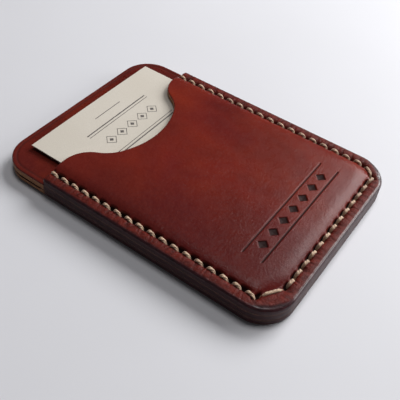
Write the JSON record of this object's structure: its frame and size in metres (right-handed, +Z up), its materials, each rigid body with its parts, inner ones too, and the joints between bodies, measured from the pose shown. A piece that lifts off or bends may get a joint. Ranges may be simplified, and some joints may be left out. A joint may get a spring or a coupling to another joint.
{
  "type": "minimalist card wallet",
  "caption": "Slim stitched leather card wallet, open at one short end, with a thumb scoop in its front pocket and a business card that slides out.",
  "frame": {"origin": "middle of the wallet's footprint, on the underside of the back panel, where it lies on a table", "axes": "+X across the wallet seen from its pocket side, +Y along it to the open end where the card comes out, +Z up through the panels to the pocket's face"},
  "size_m": [0.07, 0.0984, 0.0082],
  "materials": {
    "front_leather": "polished chestnut brown vegetable-tanned leather with darker mottling",
    "centre_leather": "chestnut brown leather with a tan raw edge past the stitches",
    "back_leather": "chestnut brown leather with dark burnished edges",
    "waxed_thread": "twisted waxed natural linen thread",
    "card_board": "uncoated off-white card board with fine printed lines"
  },
  "bodies": {
    "wallet": {"back_panel": "back_leather", "centre_panel": "centre_leather", "front_panel": "front_leather", "thread_first_half": "waxed_thread", "thread_second_half": "waxed_thread"},
    "card": {"business_card": "card_board"}
  },
  "joints": [
    {"name": "card_slide", "type": "slide", "parent": "wallet", "child": "card", "axis": [0, 1, 0], "range_m": [-0.0025, 0.0915]}
  ]
}
